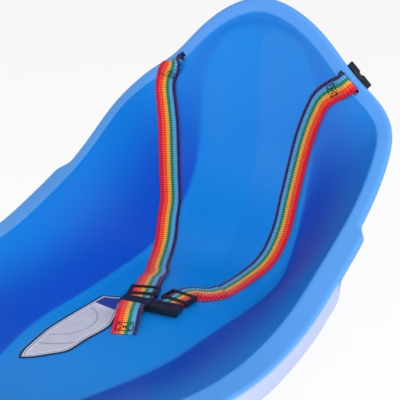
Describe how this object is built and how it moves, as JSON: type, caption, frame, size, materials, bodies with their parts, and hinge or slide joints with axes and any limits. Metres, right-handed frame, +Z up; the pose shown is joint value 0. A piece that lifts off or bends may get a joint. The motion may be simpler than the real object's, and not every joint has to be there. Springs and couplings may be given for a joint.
{
  "type": "plastic sled",
  "caption": "Child's moulded plastic sled with a tall backrest, wide grip rims and rainbow shoulder webbing that meets at a side-release buckle.",
  "frame": {"origin": "middle of the whole part's bounding box in plan, on the ground under the floor", "axes": "+Z up; +Y from the nose to the backrest; +X to the seated child's left, which is the right side in the picture"},
  "size_m": [0.3852, 0.6041, 0.2862],
  "materials": {
    "blue_polyethylene": "smooth satin moulding",
    "rainbow_webbing": "ribbed weave with rainbow stripes along it",
    "black_acetal": "smooth moulding",
    "label_film": "printed film"
  },
  "bodies": {
    "tub": {"sled_shell": "blue_polyethylene", "left_strap": "rainbow_webbing", "right_strap": "rainbow_webbing", "pull_tab": "rainbow_webbing", "left_anchor_bar": "black_acetal", "right_anchor_bar": "black_acetal", "buckle_socket": "black_acetal", "floor_label": "label_film"},
    "left_slide": {"left_adjuster": "black_acetal"},
    "plug": {"buckle_tongue": "black_acetal", "right_strap_end": "rainbow_webbing"},
    "right_slide": {"right_adjuster": "black_acetal"},
    "back_spring": {"back_prong": "black_acetal"},
    "front_spring": {"front_prong": "black_acetal"}
  },
  "joints": [
    {"name": "left_adjuster_slide", "type": "slide", "parent": "tub", "child": "left_slide", "axis": [-0.3987, 0.9171, 0], "range_m": [0, 0.028]},
    {"name": "plug_slide", "type": "slide", "parent": "tub", "child": "plug", "axis": [0.9848, 0.1736, 0], "range_m": [0, 0.02]},
    {"name": "right_adjuster_slide", "type": "slide", "parent": "plug", "child": "right_slide", "axis": [0.0523, 0.9986, 0], "range_m": [0, 0.005]},
    {"name": "back_prong_press", "type": "hinge", "parent": "plug", "child": "back_spring", "pos_m": [-0.00048, 0.08476, 0.00825], "axis": [0, 0, 1], "range_deg": [0, 7], "stiffness_Nm_per_rad": 0.2},
    {"name": "front_prong_press", "type": "hinge", "parent": "plug", "child": "front_spring", "pos_m": [0.00092, 0.07679, 0.00825], "axis": [0, 0, -1], "range_deg": [0, 7], "stiffness_Nm_per_rad": 0.2}
  ]
}
